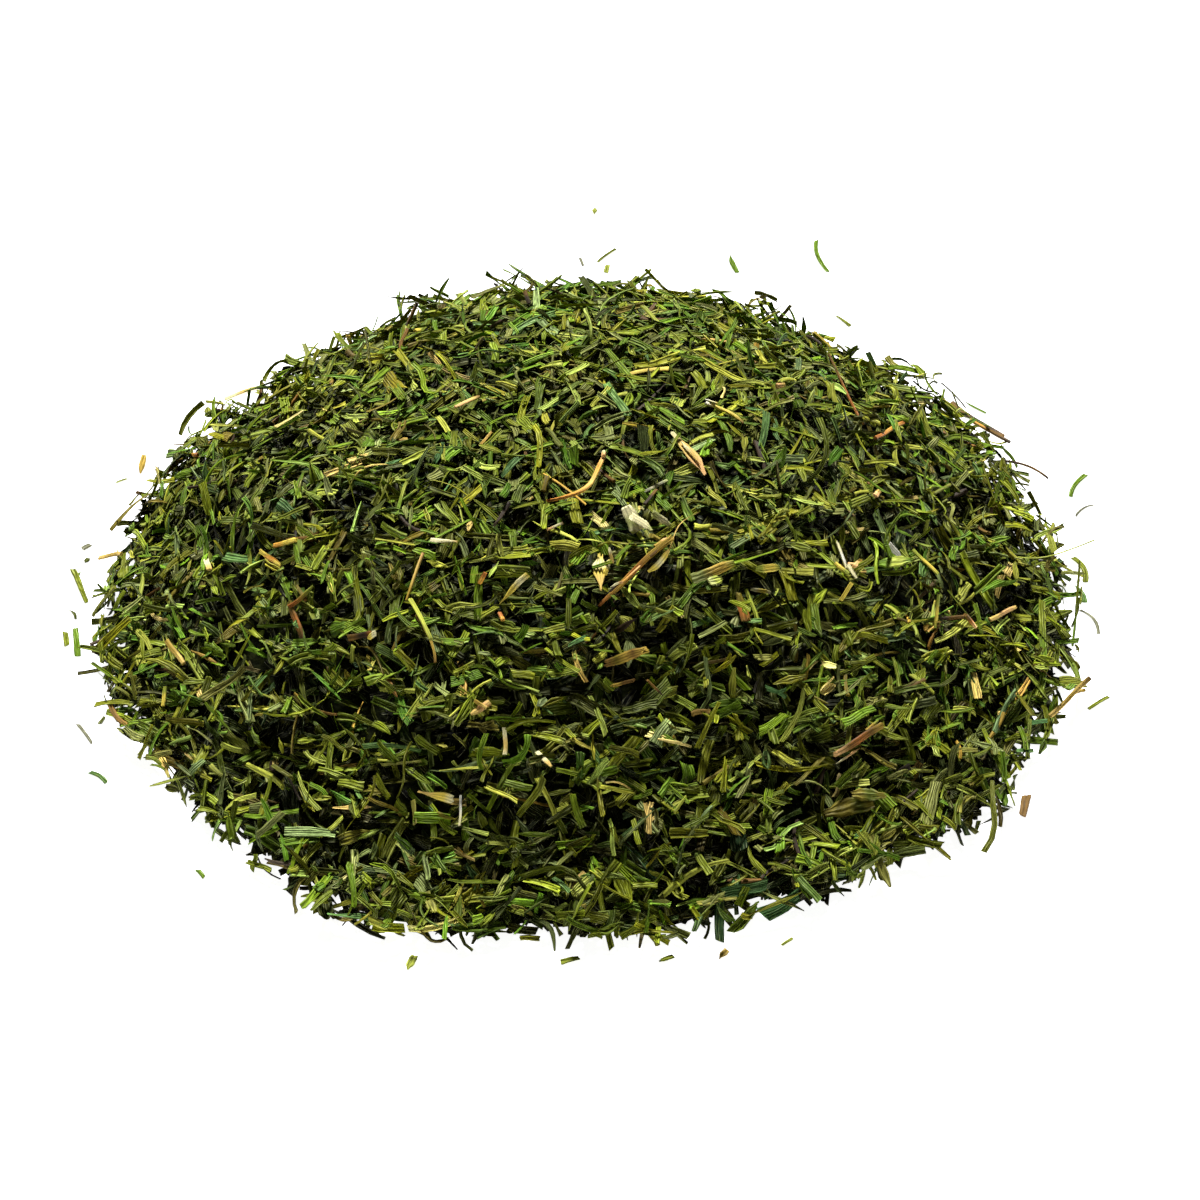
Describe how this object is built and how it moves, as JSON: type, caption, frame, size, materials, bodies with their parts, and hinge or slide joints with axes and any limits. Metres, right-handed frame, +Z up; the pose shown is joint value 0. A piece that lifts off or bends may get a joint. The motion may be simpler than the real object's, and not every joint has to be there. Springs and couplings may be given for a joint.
{
  "type": "heap of dried dill",
  "caption": "Low round heap of dried, cut dill weed: short green leaf flakes with a few straw stem bits and papery scraps in it, and loose flakes round its foot.",
  "frame": {"origin": "middle of the heap's flat foot, on the table's surface", "axes": "+Z up, +X to the right and +Y to the back as the heap is seen from the front"},
  "size_m": [0.1151, 0.1395, 0.0303],
  "materials": {
    "leaf_green": "dry, matt leaf with fine ribs along it",
    "straw": "dry straw with a slight gloss",
    "papery_straw": "thin, dull papery sheath",
    "stem_brown": "dry grooved stem, matt",
    "leaf_olive": "dry, matt leaf scrap"
  },
  "bodies": {
    "root": {"leaf_flake_heap": "leaf_green", "curved_straw_stem": "straw", "papery_sheath": "papery_straw", "split_straw_stem": "straw", "long_brown_stem": "stem_brown", "forked_straw_scrap": "straw", "short_straw_stem_1": "straw", "short_straw_stem_2": "straw", "short_straw_stem_3": "straw", "short_straw_stem_4": "straw", "short_straw_stem_5": "straw", "cream_leaf_scrap": "papery_straw", "broad_straw_scrap": "papery_straw", "brown_stem_right": "stem_brown", "brown_stem_left": "stem_brown", "striped_stem_front": "papery_straw", "pale_straw_right_1": "papery_straw", "pale_straw_right_2": "straw", "olive_leaf_scrap": "leaf_olive", "loose_flake_01": "leaf_green", "loose_flake_02": "leaf_green", "loose_flake_03": "leaf_green", "loose_flake_04": "leaf_green", "loose_flake_05": "leaf_green", "loose_flake_06": "leaf_green", "loose_flake_07": "leaf_green", "loose_flake_08": "leaf_green", "loose_flake_09": "leaf_green", "loose_flake_10": "leaf_green", "loose_flake_11": "leaf_green", "loose_flake_12": "leaf_green", "loose_flake_13": "leaf_green", "loose_flake_14": "leaf_green", "loose_flake_15": "leaf_green", "loose_flake_16": "leaf_green", "loose_flake_17": "leaf_green", "loose_flake_18": "leaf_green", "loose_flake_19": "leaf_green", "loose_flake_20": "leaf_green", "loose_flake_21": "leaf_green", "loose_flake_22": "leaf_green", "loose_flake_23": "leaf_green", "loose_flake_24": "leaf_green", "loose_flake_25": "leaf_green", "loose_flake_26": "leaf_green", "loose_flake_27": "leaf_green", "loose_flake_28": "leaf_green", "loose_flake_29": "leaf_green", "loose_flake_30": "leaf_green", "loose_flake_31": "leaf_green", "loose_flake_32": "stem_brown"}
  },
  "joints": []
}
